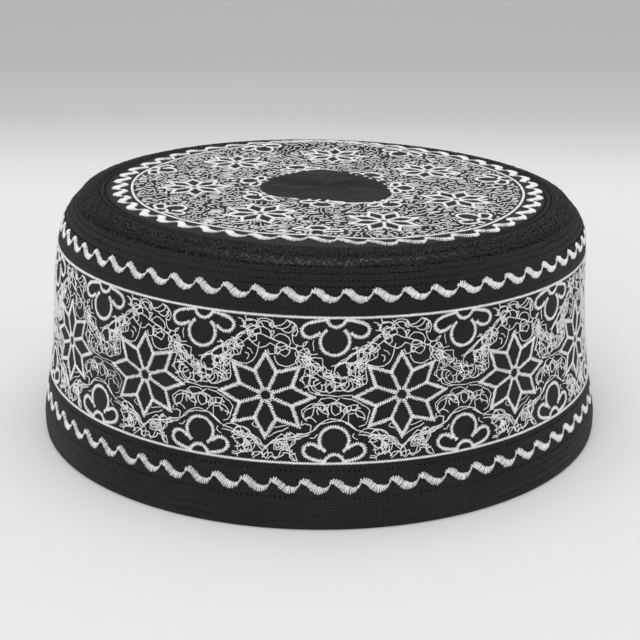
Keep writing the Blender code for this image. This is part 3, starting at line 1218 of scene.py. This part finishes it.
def crown_curls(stars, flowers, rng):
    """The curls between the crown's motifs, from the plain middle to the rail."""
    margins = (CROWN_STAR_MARGIN, CROWN_FLOWER_MARGIN)

    def is_ground(points):
        radius = np.hypot(points[:, 0], points[:, 1])
        turn = np.arctan2(points[:, 0], -points[:, 1])
        on_the_ring = (radius > edge_of_disc(turn) + DISC_MARGIN) & (radius < FILL_OUTER)
        return on_the_ring & clear_of_motifs(points, stars, flowers, *margins)

    corner = np.array([-FILL_OUTER, -FILL_OUTER])
    size = (2 * FILL_OUTER, 2 * FILL_OUTER)
    headings = rng.uniform(0, 2 * pi, CROWN_CURL_WAVES)
    steepness = 2 * pi / rng.uniform(*CROWN_WAVE_LENGTHS, CROWN_CURL_WAVES)
    waves = np.stack([np.cos(headings), np.sin(headings)], -1) * steepness[:, None]
    field = whirls(waves, CROWN_CURL_SWING, rng)
    reach = (CROWN_CURL_GAP, CROWN_CURL_LONGEST)
    lines = even_curls(corner, size, is_ground, field, *reach, np.zeros((0, 2)), False, rng)
    return [run(line, rng, **CROWN_CURL_STITCH) for line in lines]


def crown_embroidery(rng):
    star_parts, flower_parts, stars, flowers = [], [], [], []
    for degrees, radius in CROWN_STARS:
        turn = radians(degrees)
        star = (turned_point(radius, turn), CROWN_STAR_SCALE, 1.0, turn)
        star_parts.append(star_lines(*star, rng))
        stars.append(star)
    rings = ((OUTER_FLOWERS, CROWN_FLOWER_SCALE, True), (INNER_FLOWERS, INNER_FLOWER_SCALE, False))
    for ring, scale, inward in rings:
        for degrees, radius in ring:
            turn = radians(degrees)
            place = round_crown(radius, turn, inward)
            flower_parts.append(half_flower(scale, CROWN_FLOWER_SPREAD, CROWN_HUB_DIP, rng, place))
            out = turned_point(1.0, turn)
            flowers.append((out * radius, -out if inward else out, scale))
    turns = np.linspace(-pi, pi, 361)
    rails = rail(turned_point(CROWN_RAIL, turns), rng)
    length = 2 * pi * CROWN_SCROLL_EDGE / CROWN_SCROLLS
    onto_edge = round_crown(CROWN_SCROLL_EDGE, CROWN_SCROLL_TURN, True)

    def stretched(points):
        return onto_edge(points * [1.0, CROWN_SCROLL_STRETCH])

    scrolls = scroll_border(CROWN_SCROLLS, length, CROWN_SCROLL_THICKER, rng, stretched)
    fill = crown_curls(stars, flowers, rng)
    for distance in DISC_LINES:
        path = turned_point(edge_of_disc(turns) + distance, turns)
        fill.append(run(path, rng, **DISC_LINE_STITCH))
    lay_white("crown_stars", on_crown, star_parts, SATIN_SHARES, 0.14, 0.26)
    lay_white("crown_flowers", on_crown, flower_parts, SATIN_SHARES, 0.14, 0.26)
    lay_white("crown_rail", on_crown, [rails], RUN_SHARES, 0.2, 0.28)
    lay_white("crown_scrolls", on_crown, [scrolls], SATIN_SHARES, 0.3, 0.3)
    lay_white("crown_filling", on_crown, fill, RUN_SHARES, 0.08, 0.24)


QUILT_STITCH = {"step": 1.5, "jitter": 0.04, "gap": 0.5, "thread": 0.42}
# The needle holes are real; their darkness is painted shade, laid as matte near-black dots along these
# rows
HOLE_SHADE_STITCH = {"step": 1.3, "jitter": 0.12, "gap": 0.75, "thread": 0.5}
HOLE_ROWS = (9.7, 17.6, 70.4, 72.1, 73.7)
HOLE_SHIFT = 0.6
CROWN_HOLE_ROWS = (72.6, 74.4, 76.3)


def quilting(rng):
    """Rows of black stitches, and near-black dots of painted shade at the needle holes, on the band and
    near the crown's edge.
    """
    turns = np.linspace(0.0, 2 * pi, 361)

    def rings(radii):
        return [turned_point(radius, turns) for radius in radii]

    def sew(name, lines, stitch, bed, rise, material, slot):
        place = on_band if slot == "side_cloth" else crown_at
        stitches = joined(run(line, rng, **stitch) for line in lines)
        lay(name, place, stitches, RUN_SHARES, bed, rise, material, slot)

    band_rows = level_lines(BAND_ROWS, 0.0)
    band_hole_shade = level_lines(HOLE_ROWS, HOLE_SHIFT)
    crown_hole_shade = rings(CROWN_HOLE_ROWS)
    sew("band_quilting", band_rows, QUILT_STITCH, -0.1, 0.2, black_thread, "side_cloth")
    # Painted shade: near-black dots stand for the shade inside the needle holes
    sew("needle_hole_shade_dots", band_hole_shade, HOLE_SHADE_STITCH, 0.0, 0.08, painted_hole_shade, "side_cloth")
    sew("crown_needle_hole_shade_dots", crown_hole_shade, HOLE_SHADE_STITCH, 0.0, 0.1, painted_hole_shade, "crown_cloth")
    sew("crown_quilting", rings(CROWN_ROWS), QUILT_STITCH, 0.0, 0.2, black_thread, "crown_cloth")


# Floor, light and camera

CAMERA_PLACE = (-0.0023, -0.44145, 0.1856)
CAMERA_PITCH = radians(19.31)
CAMERA_ROLL = 0.00416
PICTURE_SIZE = 640
FOCAL_PIXELS = 1358.3
AXIS_PIXELS = -7.53
SENSOR_WIDTH = 36.0
FLOOR_FRONT = -3.0
FLOOR_HALF_WIDTH = 4.0
SWEEP_START = 0.26
SWEEP_RADIUS = 0.55
SWEEP_STEPS = 16
BACKDROP_TOP = 2.5
SHADE_START = -0.25
PAPER_TINT = (0.988, 0.994, 1.0)
# The sweep's painted shade, darkest up the backdrop where less light reaches it: (metres behind
# SHADE_START, tone)
BACKDROP_PAINTED_SHADE = (
    (0.15, 0.82), (0.35, 0.86), (0.54, 0.865), (0.6, 0.78), (0.67, 0.56), (0.735, 0.46),
    (0.85, 0.425), (1.0, 0.465),
)


def floor():
    """A pale sweep: a flat floor that curves up into a backdrop, with painted shade that darkens the
    backdrop.
    """
    profile = [(FLOOR_FRONT, 0.0), (SWEEP_START, 0.0)]
    for step in range(1, SWEEP_STEPS + 1):
        angle = radians(90 * step / SWEEP_STEPS)
        rise = SWEEP_RADIUS * (1 - cos(angle))
        profile.append((SWEEP_START + SWEEP_RADIUS * sin(angle), rise))
    profile.append((SWEEP_START + SWEEP_RADIUS, BACKDROP_TOP))
    points, faces = [], []
    for y, z in profile:
        points.extend([(-FLOOR_HALF_WIDTH, y, z), (FLOOR_HALF_WIDTH, y, z)])
    for row in range(len(profile) - 1):
        faces.append((2 * row, 2 * row + 1, 2 * row + 3, 2 * row + 2))
    mesh = bpy.data.meshes.new("floor")
    mesh.from_pydata(points, [], faces)
    mesh.shade_smooth()
    material, tree, shader = new_material("floor_paper")
    place, axes = object_place(tree)
    soft = noise(tree, place, 3.0, 2.0)
    # Painted shade: the colour follows depth, so the sweep darkens up the backdrop
    depth = number(tree, "SUBTRACT", axes["Y"], SHADE_START)
    shade = number(tree, "MULTIPLY_ADD", soft, 0.01, depth)
    stops = [(stop, [tint * tone for tint in PAPER_TINT]) for stop, tone in BACKDROP_PAINTED_SHADE]
    tree.links.new(ramp(tree, shade, *stops), shader.inputs["Base Color"])
    shader.inputs["Roughness"].default_value = 0.9
    mesh.materials.append(material)
    sweep = bpy.data.objects.new("floor", mesh)
    bpy.context.scene.collection.objects.link(sweep)


AreaLight = namedtuple("AreaLight", "name place aim size power")
LIGHTS = (
    AreaLight("top_softbox", (0.0, 0.0, 1.5), (0.0, 0.0, 0.0), (1.4, 1.2), 7.1),
    AreaLight("front_softbox", (-0.3, -1.5, 0.9), (0.0, 0.0, 0.04), (1.2, 0.9), 9.6),
    AreaLight("back_softbox", (0.2, 0.75, 1.3), (0.0, 0.0, 0.07), (1.2, 0.4), 1.6),
)
WORLD_STRENGTH = 0.665


def look_along(direction):
    """Euler angles that point a lamp along a direction, level across."""
    flat = np.hypot(direction[0], direction[1])
    pitch = np.arctan2(direction[2], flat) + pi / 2
    yaw = np.arctan2(-direction[0], direction[1])
    return Euler((pitch, 0.0, yaw))


def lights():
    for row in LIGHTS:
        light = bpy.data.lights.new(row.name, "AREA")
        light.shape = "RECTANGLE"
        light.size, light.size_y = row.size
        light.energy = row.power
        lamp = bpy.data.objects.new(row.name, light)
        lamp.location = row.place
        lamp.rotation_euler = look_along(np.array(row.aim) - np.array(row.place))
        bpy.context.scene.collection.objects.link(lamp)
    world = bpy.data.worlds.new("studio")
    world.use_nodes = True
    background = world.node_tree.nodes["Background"]
    background.inputs["Color"].default_value = (0.97, 0.985, 1.0, 1.0)
    background.inputs["Strength"].default_value = WORLD_STRENGTH
    bpy.context.scene.world = world


def camera():
    data = bpy.data.cameras.new("camera")
    data.sensor_width = SENSOR_WIDTH
    data.lens = SENSOR_WIDTH * FOCAL_PIXELS / PICTURE_SIZE
    data.clip_start = 0.01
    viewer = bpy.data.objects.new("camera", data)
    viewer.location = CAMERA_PLACE
    turn = Euler((0.0, 0.0, AXIS_PIXELS / FOCAL_PIXELS)).to_matrix()
    pitch = Euler((pi / 2 - CAMERA_PITCH, 0.0, 0.0)).to_matrix()
    roll = Euler((0.0, 0.0, CAMERA_ROLL)).to_matrix()
    viewer.rotation_euler = (turn @ pitch @ roll).to_euler()
    bpy.context.scene.collection.objects.link(viewer)
    bpy.context.scene.camera = viewer


def seam_roll_finish():
    """The solid roll stays under the threads, in the same black."""
    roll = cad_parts["seam_roll"]
    roll.data.materials.clear()
    roll.data.materials.append(black_thread)


band_cloth()
crown_cloth_piece()
seam_roll_finish()
overcast_stitches(np.random.default_rng(11))
band_embroidery(np.random.default_rng(21))
band_scrolls(np.random.default_rng(31))
crown_embroidery(np.random.default_rng(41))
quilting(np.random.default_rng(51))
floor()
lights()
camera()
bpy.context.scene.view_settings.view_transform = "Standard"
